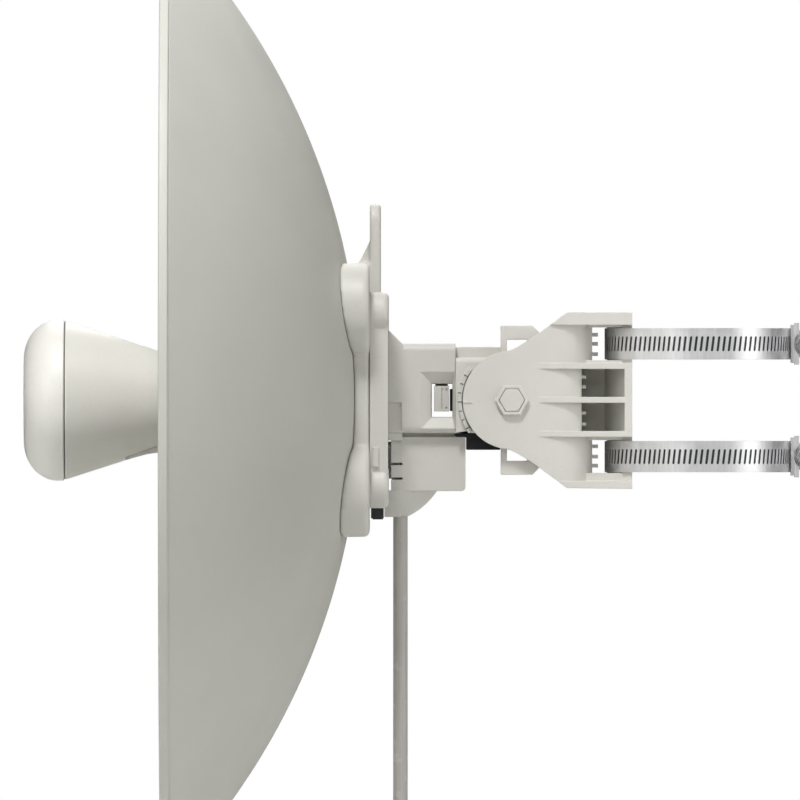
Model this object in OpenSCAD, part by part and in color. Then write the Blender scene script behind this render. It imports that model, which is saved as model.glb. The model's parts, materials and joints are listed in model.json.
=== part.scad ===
// Outdoor wireless bridge: a dish antenna with its feed, radio box, tilt bracket and band clamps.
// The origin is on the pole axis at the height of the tilt bolt. +Z is up and the dish looks along -X.

/* [Pole and bracket] */
// Diameter of the pole that the bands grip
pole_d = 76.2; // [75:0.1:77]
// Distance from the pole axis to the tilt bolt
bolt_reach = 90.1; // [89.8:0.1:90.4]
// Width of the bracket over its two cheeks
bracket_w = 54; // [53.6:0.1:54.6]
// Thickness of each cheek
cheek_t = 4; // [3.8:0.1:4.2]
// Radius of the bracket's round nose
nose_r = 22.7; // [22.3:0.1:22.8]

/* [Bands] */
// Height of the middle of each band above and below the bolt
band_z = 26; // [25.8:0.1:26.2]
// Height of the band strip
band_h = 14.4; // [13:0.1:14.8]
// Thickness of the band strip
band_t = 0.8; // [0.6:0.1:0.8]

/* [Dish] */
// Outer diameter of the rim band
dish_d = 444; // [442:1:446]
// Radius of the arc that the back of the dish follows
dish_arc_r = 316.4; // [316:0.1:317]
// Wall thickness of the dish
dish_wall = 2.2; // [2:0.1:2.4]
// Distance from the pole axis to the back of the dish
dish_reach = 159.7; // [159.6:0.1:159.8]

/* [Feed] */
// Largest radius of the feed cap
cap_r = 37.15; // [37:0.05:37.3]
// Radius of the flat front of the cap
cap_flat_r = 19.1; // [18:0.1:20]
// Slope of the feed cone's side
cone_slope = 0.324; // [0.31:0.002:0.33]

/* [Radio box] */
// Radius of the four round pads behind the dish
pad_r = 21.3; // [21:0.1:21.6]
// Sideways place of the pad centres
pad_y = 39.5; // [39.2:0.1:39.8]
// Upright place of the pad centres
pad_z = 41.7; // [41.5:0.1:41.9]
// Half the width of the neck
neck_half_w = 22; // [21.8:0.1:22.2]

/* [Network cable] */
// Diameter of the cable
cable_d = 6.7; // [6.5:0.1:6.8]
// Sideways place of the cable, measured from the pole axis
cable_reach = 141.5; // [141.3:0.1:141.7]

/* [Hidden] */
$fn = 96;

pole_r = pole_d / 2;
bolt_x = -bolt_reach;
half_w = bracket_w / 2;
cheek_in = half_w - cheek_t;
fit = 0.06;
bolt_r = 3;
bolt_head_af = 10.2;
boss_af = 13.4;
boss_h = 2;
screw_r = 2;
screw_head_r = 3.8;

// Dish: the shell is part of a ball whose centre lies in front of the rim.
dish_r = dish_d / 2;
apex_x = -dish_reach;
arc_x = apex_x - dish_arc_r;
rim_front_x = -252;
rim_band_w = 4.6;
rim_lip = 2.4;

// Feed: the cap, the cone behind it and the tube that runs to the dish.
cap_front_x = -315.3;
cap_back_x = -296.6;
cap_round_x = -299.5;
cap_wall = 2;
cone_front_x = -296.1;
cone_front_r = 36.7;
tube_r = 19.8;
cone_back_x = cone_front_x + (cone_front_r - tube_r) / cone_slope;
tube_back_x = -159.2;
mast_r = 9;
coax_r = 1.5;
duct_half_w = 9;
duct_z = -24.1;

// Radio box: the hub with its pads, then the shell that holds the board.
hub_back_x = -155.6;
shell_back_x = -147.2;
lug_back_x = -146.8;
box_half_y = 45;
box_half_z = 38;
lug_r = 9.7;
lug_y = 38;
lug_z = 40;
dish_screw_y = 47.5;
dish_screw_z = 50;
board_front_x = -151.4;
board_back_x = -149.8;
board_half_y = 40;
board_half_z = 28;
ground_y = 32;
ground_z = 6;

// Fin: the pointing tab above the box.
fin_top_z = 90.6;
fin_back_x = -150.5;
fin_half_w = 15;
lanyard_r = 5;
lanyard_z = 79;

// Neck and the tongue that plugs into it.
neck_back_x = -116.1;
neck_top_z = 26.2;
neck_low_z = -15.1;
neck_wall = 3;
tongue_top_z = 19.5;
tongue_back_x = -76.7;
tongue_half_w = cheek_in - 0.4;
loop_front_x = -95.2;
loop_half_z = 34.4;
insert_front_x = -134;
insert_half_w = 16;

// Port cover under the neck, and the cable that comes out of it.
cable_x = -cable_reach;
cable_r = cable_d / 2;
cover_top_z = -16.9;
cover_low_z = -41.9;
cover_back_x = -111.5;
cover_front_x = -146.85;
cover_half_w = 17;
cover_wall = 1.8;
hood_front_x = -148.9;
hood_low_z = -53.9;
hood_top_r = 16.8;
hood_arc_r = 33.8;
hood_arc_r_at = -11.4;
hood_arc_z = -23.3;
gland_r = 7.55;
gland_low_z = -49.9;
plug_end_z = -43;

// Bracket side outline, measured from the bolt, and the heights of its ribs.
bracket_back_x = -34.7;
bracket_top_z = 40.5;
bracket_low_z = -40.9;
cheek_rise = [
    [-9, 20.8], [-0.4, 23.2], [2.6, 24.6], [5.6, 26.4], [9.5, 29], [13.4, 31.6],
    [21.8, 37.8], [25.4, bracket_top_z]
];
ribs = [[34.7, bracket_top_z], [14.4, 17.2], [-1.2, 1.5], [-16.9, -14.2], [bracket_low_z, -37.2]];
strap_bays = [[17.2, 34.7], [-37.2, -16.9]];
strap_ledges = [[17.1, 18.4], [33.6, 34.8], [-18.4, -16.8], [-37.3, -33.6]];
middle_bays = [[1.5, 14.4], [-14.2, -1.2]];
jaw_tip_y = 16;
jaw_root_x = -43.6;
saddle_x = -17.5;
saddle_r = 29;

// Band: each strip leaves the pole on a straight tangent and turns round the bracket's saddle.
strip_angle = 180 - acos((saddle_r - pole_r) / saddle_x);
worm_x = 45.6;
worm_r = 4;

// Cable route: straight down from the plug in the port, then into the coil.
cable_route = [
    [cable_x, 0, -43.8], [cable_x, 0, -50], [cable_x, 0, -56], [cable_x, 0, -64],
    [cable_x, 0, -74], [cable_x, 0, -86], [cable_x, 0, -98], [cable_x, 0, -110],
    [cable_x, 0, -122], [cable_x, 0, -134], [cable_x, 0, -146], [cable_x, 0, -158],
    [cable_x, 0, -170], [cable_x, 0, -182], [cable_x, 0, -194], [cable_x, 0, -206],
    [cable_x, 0, -218], [cable_x, 0, -230]
];
coil_z = -240;
coil_out_r = 7 * cable_d;
coil_in_r = 4 * cable_d;
cable_end_z = coil_z - 20;

// ---------- Helpers ----------

// Pushes a flat shape drawn in Y and Z along X.
module along_x(x0, x1) translate([x0, 0, 0]) rotate([90, 0, 90]) linear_extrude(x1 - x0) children();

// Pushes a flat shape drawn in X and Z along Y.
module along_y(y0, y1) translate([0, y1, 0]) rotate([90, 0, 0]) linear_extrude(y1 - y0) children();

// Pushes a flat shape drawn in X and Y along Z.
module along_z(z0, z1) translate([0, 0, z0]) linear_extrude(z1 - z0) children();

// Turns a profile of radius and X about the dish axis.
module turned_x() rotate([0, 90, 0]) rotate_extrude() children();

module rod_x(r, x0, x1, y = 0, z = 0) translate([x0, y, z]) rotate([0, 90, 0]) cylinder(r = r, h = x1 - x0);

module rod_y(r, y0, y1, x = 0, z = 0) translate([x, y1, z]) rotate([90, 0, 0]) cylinder(r = r, h = y1 - y0);

module block(x0, x1, y0, y1, z0, z1) translate([x0, y0, z0]) cube([x1 - x0, y1 - y0, z1 - z0]);

// A bar that is as wide on both sides of the middle plane.
module wide_block(x0, x1, half_y, z0, z1) block(x0, x1, -half_y, half_y, z0, z1);

module hex_y(af, y0, y1, x, z) translate([x, y1, z]) rotate([90, 0, 0])
    cylinder(d = af / cos(30), h = y1 - y0, $fn = 6);

module on_both_sides() {
    children();
    mirror([0, 1, 0]) children();
}

module at_four_corners(y, z) for (sy = [-1, 1], sz = [-1, 1]) translate([0, sy * y, sz * z]) children();

module soft_square(w, h, r) {
    square([w - 2 * r, h], center = true);
    square([w, h - 2 * r], center = true);
    for (sx = [-1, 1], sy = [-1, 1]) translate([sx * (w / 2 - r), sy * (h / 2 - r)]) circle(r, $fn = 48);
}

// A disc along X with a rounded rear edge.
module soft_disc_x(r, x0, x1, edge) turned_x() {
    translate([0, x0]) square([r, x1 - x0 - edge]);
    translate([0, x0]) square([r - edge, x1 - x0]);
    translate([r - edge, x1 - edge]) circle(edge, $fn = 48);
}

module ball(r) translate([arc_x, 0, 0]) sphere(r = r, $fn = 180);

// A pan-head screw along X. Its head is on the side that dir points to.
module screw_x(x_seat, length, dir, r = screw_r, head_r = screw_head_r, head_h = 2.4) {
    s = dir > 0 ? [x_seat - length, x_seat] : [x_seat, x_seat + length];
    h = dir > 0 ? [x_seat, x_seat + head_h] : [x_seat - head_h, x_seat];
    recess = dir > 0 ? [h[1] - 1.4, h[1] + 1] : [h[0] - 1, h[0] + 1.4];
    rod_x(r, s[0], s[1]);
    difference() {
        rod_x(head_r, h[0], h[1]);
        along_x(recess[0], recess[1]) for (a = [0, 90]) rotate(a) square([1, head_r * 1.2], center = true);
    }
}

// ---------- Dish and feed ----------

// Half section of the dish: an arc from the feed hole to the rim, and the band round the rim.
module dish_profile() difference() {
    union() {
        intersection() {
            translate([0, arc_x]) circle(dish_arc_r, $fn = 360);
            translate([tube_r + 0.2, rim_front_x]) square([dish_r - rim_lip - tube_r - 0.2, 100]);
        }
        translate([dish_r - 8, rim_front_x]) square([8, rim_band_w]);
    }
    translate([0, arc_x]) circle(dish_arc_r - dish_wall, $fn = 360);
}

module dish_reflector() color("#b9b9b1") difference() {
    union() {
        turned_x() dish_profile();
        // Flat seats for the screws that hold the hub
        at_four_corners(dish_screw_y, dish_screw_z) rod_x(4.9, -171.5, -168.47);
    }
    at_four_corners(dish_screw_y, dish_screw_z) rod_x(screw_r + 0.1, -180, -160);
}

// Points of the cap's rounding, from the flat front to the side.
function cap_curve(wall) = [
    for (a = [0 : 7.5 : 90])
        [
            cap_flat_r + (cap_r - cap_flat_r - wall) * sin(a),
            cap_round_x - (cap_round_x - cap_front_x - wall) * cos(a)
        ]
];

module cap_profile(wall, back_x) polygon(concat(
    [[0, back_x], [0, cap_front_x + wall]],
    cap_curve(wall),
    [[cap_r - wall, back_x]]
));

module feed_cap() color("#d8d6cf") difference() {
    turned_x() cap_profile(0, cap_back_x);
    turned_x() cap_profile(cap_wall, cap_back_x + 1);
}

module cap_seal_ring() color("#6f6e6a") difference() {
    rod_x(cap_r - 0.9, cap_back_x, cone_front_x);
    rod_x(cap_r - 5, cap_back_x - 1, cone_front_x + 1);
}

module cone_profile(wall) polygon([
    [0, cone_front_x - (wall > 0 ? 1 : 0)],
    [cone_front_r - wall, cone_front_x - (wall > 0 ? 1 : 0)],
    [cone_front_r - wall, cone_front_x],
    [tube_r - wall, cone_back_x],
    [tube_r - wall, tube_back_x + (wall > 0 ? 1 : 0)],
    [0, tube_back_x + (wall > 0 ? 1 : 0)]
]);

module feed_cone() color("#d2d0c9") difference() {
    turned_x() cone_profile(0);
    turned_x() cone_profile(2);
}

// The cable duct along the underside of the cone and tube.
module feed_duct() color("#cfcdc6") difference() {
    along_y(-duct_half_w, duct_half_w) polygon([
        [-268.6, -27.8], [-264, -26.4], [-258, -24.8], [-252, duct_z], [-170.4, duct_z],
        [-170.4, -10], [-268.6, -10]
    ]);
    turned_x() polygon([
        [0, cone_front_x],
        [cone_front_r + 0.05, cone_front_x],
        [tube_r + 0.05, cone_back_x],
        [tube_r + 0.05, tube_back_x],
        [0, tube_back_x]
    ]);
}

module sub_reflector() color("#c9c9c9") difference() {
    union() {
        rod_x(27, -307.5, -306);
        rod_x(12, -306.2, -304.5);
    }
    rod_x(mast_r + 0.02, -305.9, -300);
}

module feed_board() color("#2f6b45") difference() {
    rod_x(25, -302.4, -300.8);
    rod_x(mast_r + 0.02, -303, -300);
}

module feed_mast() color("#bfbfc2") difference() {
    rod_x(mast_r, -305.8, tube_back_x);
    rod_x(mast_r - 2.2, -306, -156);
}

module feed_coax() color("#8a6a3a") for (y = [-3, 3]) rod_x(coax_r, -300.6, board_front_x, y = y);

// The ring that clamps the tube's foot against the front of the dish.
module feed_collar() color("#cfcdc6") difference() {
    turned_x() intersection() {
        translate([0, arc_x]) circle(dish_arc_r - dish_wall - 0.03, $fn = 360);
        union() {
            translate([tube_r + 0.03, -170.2]) square([27 - tube_r, 10]);
            translate([tube_r + 0.03, -167.4]) square([36 - tube_r, 10]);
        }
    }
    for (a = [45 : 90 : 315]) rotate([a, 0, 0]) rod_x(1.52, -172, -155, z = 31.5);
}

module collar_screws() color("#8f8f92") for (a = [45 : 90 : 315]) rotate([a, 0, 0]) translate([0, 0, 31.5])
    screw_x(-167.4, 3.2, -1, r = 1.5, head_r = 3, head_h = 1.9);

// ---------- Hub and radio box ----------

module dish_hub() color("#d3d1ca") difference() {
    union() {
        at_four_corners(pad_y, pad_z) soft_disc_x(pad_r, -176, hub_back_x, 2.6);
        along_x(-172, hub_back_x) {
            soft_square(2 * box_half_y, 2 * box_half_z, 4);
            translate([0, 44]) square([2 * fin_half_w, 38.2], center = true);
        }
        // The pointing tab and its gusset
        along_x(hub_back_x, fin_back_x) difference() {
            union() {
                translate([-fin_half_w, box_half_z + 0.3]) square([2 * fin_half_w, fin_top_z - box_half_z - 8.3]);
                translate([0, fin_top_z - 10]) soft_square(2 * fin_half_w, 20, 8);
            }
            translate([0, lanyard_z]) circle(lanyard_r);
        }
        wide_block(-157, -155, fin_half_w - 0.5, 40, 62.6);
        along_y(-2.5, 2.5) polygon([[-155, 73.5], [-155.6, 73.5], [-160.7, 63.1], [-160.7, 60], [-155, 60]]);
    }
    ball(dish_arc_r + 0.03);
    // Pocket for the heat spreader, and the hole for the feed
    wide_block(-159, hub_back_x + 1, 34, -26, 26);
    rod_x(tube_r + 0.1, -165, hub_back_x + 1);
    at_four_corners(dish_screw_y, dish_screw_z) rod_x(screw_r + 0.02, -180, -158.5);
    at_four_corners(lug_y, lug_z) rod_x(screw_r + 0.02, -162, hub_back_x + 1);
}

module dish_screws() color("#8f8f92") at_four_corners(dish_screw_y, dish_screw_z)
    screw_x(-171.5, 12.5, -1, head_r = 4.2);

module rear_shell() color("#cdcbc4") difference() {
    union() {
        along_x(hub_back_x, shell_back_x) difference() {
            soft_square(2 * box_half_y, 2 * box_half_z, 4);
            soft_square(2 * board_half_y + 1, 2 * board_half_z + 1, 2);
        }
        along_x(shell_back_x - 2.2, shell_back_x) soft_square(2 * box_half_y - 1, 2 * box_half_z - 1, 3);
        at_four_corners(lug_y, lug_z) soft_disc_x(lug_r, hub_back_x, lug_back_x, 2.6);
        // Finger rib on each side
        on_both_sides() block(-154.3, -151.5, 44.5, 46.2, -30.8, -21.5);
    }
    wide_block(hub_back_x - 1, shell_back_x - 2.2,
        board_half_y + 0.5, -board_half_z - 0.5, board_half_z + 0.5);
    // Port opening for the network jack
    wide_block(-156, shell_back_x + 1, 8.3, -36.4, -18.8);
    at_four_corners(lug_y, lug_z) rod_x(screw_r + 0.02, -160, -140);
    at_four_corners(lug_y, lug_z) rod_x(screw_head_r + 0.3, lug_back_x - 2.7, -140);
    rod_x(screw_r + 0.02, -152, -140, y = ground_y, z = ground_z);
    on_both_sides() for (z = [-9, 20]) rod_x(1.52, -152, -140, y = 17, z = z);
    at_four_corners(36, 25) rod_x(1.52, -150, -147.8);
    // Seats of the vent block and the status lens
    wide_block(-155.2, -148.8, 12.1, -39, -36.5);
    rod_z(1.8, -40, -27, x = -152.6, y = 22);
}

module rod_z(r, z0, z1, x = 0, y = 0) translate([x, y, z0]) cylinder(r = r, h = z1 - z0);

module lug_screws() color("#8f8f92") at_four_corners(lug_y, lug_z) screw_x(lug_back_x - 2.7, 10.8, 1);

module stack_slab(x0, x1, half_y, half_z) difference() {
    wide_block(x0, x1, half_y, -half_z, half_z);
    rod_x(7, x0 - 1, x1 + 1);
}

module heat_spreader() color("#b4b6b8") stack_slab(-158.9, -156.4, 33.6, 25.6);

module thermal_pad() color("#7d8fa6") stack_slab(-156.4, -154.9, 24, 18);

module rf_shield() color("#c4c6c8") difference() {
    stack_slab(-154.9, board_front_x, 30, 22);
    difference() {
        wide_block(-154.5, board_front_x + 1, 29.6, -21.6, 21.6);
        rod_x(7.5, -155, board_front_x);
    }
}

module radio_board() color("#2b6a43") difference() {
    wide_block(board_front_x, board_back_x, board_half_y, -board_half_z, board_half_z);
    at_four_corners(36, 25) rod_x(1.52, board_front_x - 1, board_back_x + 1);
}

module board_screws() color("#a9a9ac") at_four_corners(36, 25)
    screw_x(board_front_x, 3.4, -1, r = 1.5, head_r = 2.8, head_h = 1.6);

// The jack stands on the back of the board with its mouth down.
module network_jack() color("#bcbdc0") difference() {
    wide_block(board_back_x, -134.9, 8, -36.2, -19);
    wide_block(-145.8, -136.4, 6, -37, -22);
}

// A modular plug: body, latch lever and the sleeve that holds the cable.
module modular_plug(x, y, top_z) translate([x, y, top_z]) {
    wide_block(-4, 4, 5.85, -21.5, 0);
    block(4, 4.9, -2.9, 2.9, -19, -3);
}

module jack_plug() color("#d9d9d6") modular_plug(cable_x, 0, plug_end_z + 21.5 - 0.5);

module vent_block() color("#232325") {
    wide_block(-155.1, -149.2, 12, -54.5, -38.1);
    for (y = [-9 : 3 : 9]) block(-154.4, -149.6, y - 0.8, y + 0.8, -55, -54.4);
}

module status_lens() color("#dfe6e2") union() {
    rod_z(1.7, -38.6, -28.9, x = -152.6, y = 22);
    rod_z(2.4, -39.4, -38.1, x = -152.6, y = 22);
}

module ground_lug() color("#c7a65a") difference() {
    union() {
        rod_x(5, shell_back_x, shell_back_x + 1, y = ground_y, z = ground_z);
        block(shell_back_x, shell_back_x + 1, ground_y, 39, ground_z - 2.5, ground_z + 2.5);
        rod_y(2.6, 37.5, 45, x = shell_back_x + 2.65, z = ground_z);
    }
    rod_x(screw_r + 0.1, -150, -140, y = ground_y, z = ground_z);
    rod_y(1.7, 39, 46, x = shell_back_x + 2.65, z = ground_z);
}

module ground_screw() color("#8f8f92") translate([0, ground_y, ground_z])
    screw_x(shell_back_x + 1, 3, 1, r = screw_r);

// ---------- Neck and tongue ----------

// A recess that narrows from the neck's side to its window.
module window_recess() intersection() {
    along_z(-20, 20) polygon([
        [-132.5, -neck_half_w], [-127, -neck_half_w + neck_wall], [-127, -10],
        [-117.5, -10], [-117.5, -neck_half_w + neck_wall], [-116.4, -neck_half_w],
        [-116.4, -neck_half_w - 1], [-132.5, -neck_half_w - 1]
    ]);
    along_x(-140, -110) polygon([
        [-neck_half_w, -13.7], [-neck_half_w + neck_wall, -7.7], [-10, -7.7],
        [-10, 7.5], [-neck_half_w + neck_wall, 7.5], [-neck_half_w, 13.1],
        [-neck_half_w - 1, 13.1], [-neck_half_w - 1, -13.7]
    ]);
}

module neck_housing() color("#d6d4cd") difference() {
    union() {
        along_x(-141, neck_back_x) translate([0, (neck_top_z + neck_low_z) / 2])
            soft_square(2 * neck_half_w, neck_top_z - neck_low_z, 3.5);
        // Lip that closes the port cover's top
        wide_block(-141, -116.4, cover_half_w - cover_wall - 0.3, -18, neck_low_z + 0.5);
        wide_block(shell_back_x, -140.6, neck_half_w - 1.2, neck_low_z, -1.2);
        along_y(-neck_half_w, neck_half_w) polygon([
            [shell_back_x, 32], [-146.6, 32], [-140.6, neck_top_z - 0.2], [-140.4, -1.2], [shell_back_x, -1.2]
        ]);
        // Ears that reach down past the port cover's walls
        on_both_sides()
            block(shell_back_x, -140.6, cover_half_w + 0.35, neck_half_w - 2, -18.6, neck_low_z + 0.5);
    }
    on_both_sides() window_recess();
    wide_block(-134.4, neck_back_x + 1, neck_half_w - neck_wall, -12.5, 22);
    on_both_sides() for (z = [-9, 20]) rod_x(1.52, -150, -139.5, y = 17, z = z);
}

module neck_screws() color("#8f8f92") on_both_sides() for (z = [-9, 20]) translate([0, 17, z])
    screw_x(-149.4, 9.4, -1, r = 1.5, head_r = 2.8, head_h = 0.35);

// Side outline of the block that turns on the bolt, with its two strap windows.
module pivot_outline() difference() {
    polygon([
        [loop_front_x, -loop_half_z], [-80.7, -loop_half_z], [tongue_back_x, -loop_half_z + 4],
        [tongue_back_x, loop_half_z - 4], [-80.7, loop_half_z], [loop_front_x, loop_half_z]
    ]);
    for (s = [-1, 1]) translate([-92.4, s > 0 ? 11.5 : -28]) square([9.4, 16.5]);
}

module tilt_tongue() color("#c6c4bd") difference() {
    union() {
        wide_block(-116, loop_front_x + 1, tongue_half_w, neck_low_z, tongue_top_z);
        wide_block(-116, loop_front_x + 1, 17, tongue_top_z - 1, 24.6);
        wide_block(insert_front_x, -115, insert_half_w, -12.2, 21.7);
        along_y(-tongue_half_w, tongue_half_w) pivot_outline();
        // Raised scale with a mark every ten degrees
        on_both_sides() along_y(tongue_half_w - 0.5, half_w - 2.2) scale_outline();
    }
    wide_block(insert_front_x - 1, -98, insert_half_w - 3, -9.5, 16.5);
    on_both_sides() block(-127.6, -116.9, insert_half_w - 4, insert_half_w + 1, -8.6, 8.2);
    rod_y(bolt_r + fit, -30, 30, x = bolt_x);
    // Groove that lets the block sit on a pole by itself
    along_z(-40, 40) polygon([[tongue_back_x + 1, -14], [-82, 0], [tongue_back_x + 1, 14]]);
}

module scale_outline() {
    translate([bolt_x, 0]) {
        intersection() {
            difference() {
                circle(25);
                circle(23.1);
            }
            polygon([[0, 0], [-40, -30], [-40, 30]]);
        }
    }
}

module tongue_pad() color("#232325") {
    wide_block(-116.38, -95.4, 17, cover_top_z + 0.03, neck_low_z - 0.02);
    wide_block(-111.2, -95.4, 17, -22.9, neck_low_z - 0.02);
}

// One squeeze latch. Its pad shows in the neck's window and its flange is held behind the tongue's wall.
module latch() {
    difference() {
        wide_plate(-126, -119, 16.4, 18.6, -5.2, 6.6);
        wide_plate(-122.6, -121.9, 18.2, 19, -4, 5.4);
        for (z = [-3.6, 5]) rod_y(0.45, -20, -18, x = -120.3, z = z);
    }
    wide_plate(-125, -120, 12.6, 16.6, -4, 6);
    wide_plate(-125.4, -119.6, 10.4, 12.7, -4.6, 11);
}

// A plate on the near side, between two distances from the middle plane.
module wide_plate(x0, x1, y_in, y_out, z0, z1) block(x0, x1, -y_out, -y_in, z0, z1);

// Bar between the tongue's walls that the latches rest against.
module latch_bumper() color("#232325") wide_block(-118.7, -116.9, insert_half_w - 0.2, -5, 5.2);

module left_latch() color("#c9c7c0") latch();

module right_latch() color("#c9c7c0") mirror([0, 1, 0]) latch();

module latch_spring() color("#a8a8aa") difference() {
    rod_y(2.6, -10.3, 10.3, x = -122.5, z = 1);
    rod_y(1.8, -11, 11, x = -122.5, z = 1);
}

// ---------- Port cover ----------

module cover_outline(inset) {
    r = 2;
    translate([cover_front_x, cover_low_z + r])
        square([cover_back_x - cover_front_x - inset, cover_top_z - cover_low_z - r]);
    translate([cover_front_x, cover_low_z + inset])
        square([cover_back_x - cover_front_x - r, cover_top_z - cover_low_z - inset]);
    translate([cover_back_x - r, cover_low_z + r]) circle(r - (inset > 0 ? 0.2 : 0), $fn = 48);
}

// Half section of the cable hood: a wide arc from the box's floor down to the cable.
module hood_profile() intersection() {
    translate([hood_arc_r_at, hood_arc_z]) circle(hood_arc_r, $fn = 180);
    translate([0, hood_low_z]) square([hood_top_r, cover_low_z + 2 - hood_low_z]);
}

module port_cover() color("#c2c0b9") difference() {
    union() {
        along_y(-cover_half_w, cover_half_w) cover_outline(0);
        translate([cable_x, 0, 0]) intersection() {
            rotate_extrude() hood_profile();
            wide_block(hood_front_x - cable_x, 40, 30, -60, cover_low_z + 2);
        }
        wide_block(hood_front_x, cable_x, 12.2, hood_low_z, cover_low_z + 1);
    }
    // Inside of the box, open upwards and towards the radio box
    wide_block(cover_front_x - 1, cover_back_x - cover_wall, cover_half_w - cover_wall,
        cover_low_z + cover_wall, cover_top_z + 1);
    wide_block(hood_front_x - 1, cover_front_x + 1, 25, -41.6, cover_top_z + 1);
    // Inside of the hood and the hole for the gland
    rod_z(gland_r + 0.05, gland_low_z, cover_low_z + 3, x = cable_x);
    rod_z(cable_r + 0.5, -60, -49, x = cable_x);
    // Slits that free the snap tab on each side
    on_both_sides() for (z = [-29.4, -36.1])
        block(cover_front_x - 1, -140.6, cover_half_w - cover_wall - 1, cover_half_w + 1, z - 0.5, z + 0.5);
}

module gland_seal() color("#2c2c2e") difference() {
    rod_z(gland_r, gland_low_z, -45.2, x = cable_x);
    rod_z(cable_r + 0.09, -60, -40, x = cable_x);
}

// ---------- Pole bracket ----------

module bracket_side() {
    translate([bolt_x, 0]) circle(nose_r);
    polygon(concat(
        [for (p = cheek_rise) [bolt_x + p[0], p[1]]],
        [[bracket_back_x, bracket_top_z], [bracket_back_x, bracket_low_z]],
        [
            for (i = [len(cheek_rise) - 1 : -1 : 0])
                [bolt_x + cheek_rise[i][0], -min(cheek_rise[i][1], -bracket_low_z)]
        ]
    ));
}

module both_plan_sides() {
    children();
    mirror([0, 1]) children();
}

// Plan of a rib: from the cheeks to the jaw that meets the pole.
module rib_plan() both_plan_sides() polygon([
    [-115, cheek_in], [-115, half_w], [bracket_back_x, half_w], [bracket_back_x, jaw_tip_y],
    [jaw_root_x, 0], [-60, 0], [-60, cheek_in]
]);

// Plan of a cheek where it runs inwards to the front wall at back_x.
module wall_plan(back_x) both_plan_sides() difference() {
    polygon([
        [-115, cheek_in], [-115, half_w], [-78.5, half_w], [-65.6, half_w - 1.5],
        [-62, half_w - 2.7], [-59, half_w - 4.6], [-56.4, half_w - 7.6], [-54.6, half_w - 10],
        [-53.1, half_w - 12], [-53.1, 0], [-60, 0], [-60, cheek_in - 4], [-63, cheek_in]
    ]);
    translate([back_x, -1]) square([20, 40]);
}

module saddle_plan() intersection() {
    rib_plan();
    translate([saddle_x, 0]) circle(saddle_r - 0.3, $fn = 180);
}

module jaw_plan() {
    both_plan_sides() polygon([
        [bracket_back_x, jaw_tip_y], [jaw_root_x, 0], [-48, 0], [-46.5, 3.5], [-38.2, 21], [-38.2, half_w],
        [bracket_back_x, half_w]
    ]);
    translate([-59, -2]) square([14, 4]);
}

module pole_bracket() color("#d9d7d0") difference() {
    union() {
        intersection() {
            along_y(-half_w, half_w) bracket_side();
            union() {
                for (z = ribs) along_z(z[0], z[1]) rib_plan();
                for (z = strap_bays) along_z(z[0] - 0.01, z[1] + 0.01) {
                    wall_plan(-53.1);
                    saddle_plan();
                }
                for (z = strap_ledges) along_z(z[0], z[1]) intersection() {
                    rib_plan();
                    translate([-60, -19]) square([30, 38]);
                }
                for (z = middle_bays) along_z(z[0] - 0.01, z[1] + 0.01) {
                    wall_plan(-58);
                    jaw_plan();
                }
            }
        }
        // Teeth in front of each strap slot and in the middle windows
        for (s = [-1, 1], z = [21.3, 26, 30.2]) wide_block(-54, -50.4, 12.5, s * z - 0.85, s * z + 0.85);
        for (z = [-11, -5.9, 6.1, 10.7]) on_both_sides() block(-58.5, -56, 4, 19, z - 0.8, z + 0.8);
        // Hexagon that keeps the bolt head from turning, and the round seat of the nut
        hex_y(boss_af, -half_w - boss_h, -half_w + 1, bolt_x, 0);
        rod_y(9, half_w - 1, half_w + 0.8, x = bolt_x);
        // Pointer for the tilt scale
        on_both_sides() block(-112.5, -108.3, half_w - 0.5, half_w + 0.35, -1.3, -0.6);
    }
    rod_y(bolt_r + fit, -40, 40, x = bolt_x);
    hex_y(bolt_head_af + 0.4, -40, -half_w + 2, bolt_x, 0);
}

module tilt_bolt() color("#b9b9b6") {
    hex_y(bolt_head_af, -half_w - boss_h + 0.1, -half_w + 2, bolt_x, 0);
    rod_y(bolt_r, -half_w + 1.9, 36.5, x = bolt_x);
}

module tilt_washer() color("#c4c4c6") difference() {
    rod_y(6.2, half_w + 0.8, half_w + 2, x = bolt_x);
    rod_y(bolt_r + fit, 0, 40, x = bolt_x);
}

module tilt_nut() color("#bdbdbf") difference() {
    union() {
        hex_y(bolt_head_af, half_w + 2.3, half_w + 7.8, bolt_x, 0);
        rod_y(7, half_w + 2.3, half_w + 3.5, x = bolt_x);
    }
    rod_y(bolt_r + fit, 0, 50, x = bolt_x);
}

// ---------- Bands ----------

function on_circle(x, y, r, a) = [x + r * cos(a), y + r * sin(a)];

// Outline of the band's path, grown by t. Each straight stretch starts and ends just inside an arc.
module band_outline(t) {
    circle(pole_r + t, $fn = 180);
    translate([saddle_x, 0]) circle(saddle_r + t, $fn = 180);
    both_plan_sides() polygon([
        [0, -1],
        on_circle(0, 0, (pole_r + t) * 0.999, strip_angle - 2),
        on_circle(saddle_x, 0, (saddle_r + t) * 0.999, strip_angle + 2),
        [saddle_x, -1]
    ]);
}

module band(z) translate([0, 0, z - band_h / 2]) difference() {
    linear_extrude(band_h) union() {
        band_outline(band_t);
        // The free tail lies on the strip under the screw housing
        intersection() {
            circle(pole_r + 2 * band_t - 0.1, $fn = 180);
            polygon([[0, 0], [60, -34], [60, 42]]);
        }
    }
    translate([0, 0, -1]) linear_extrude(band_h + 2) band_outline(0);
}

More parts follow.
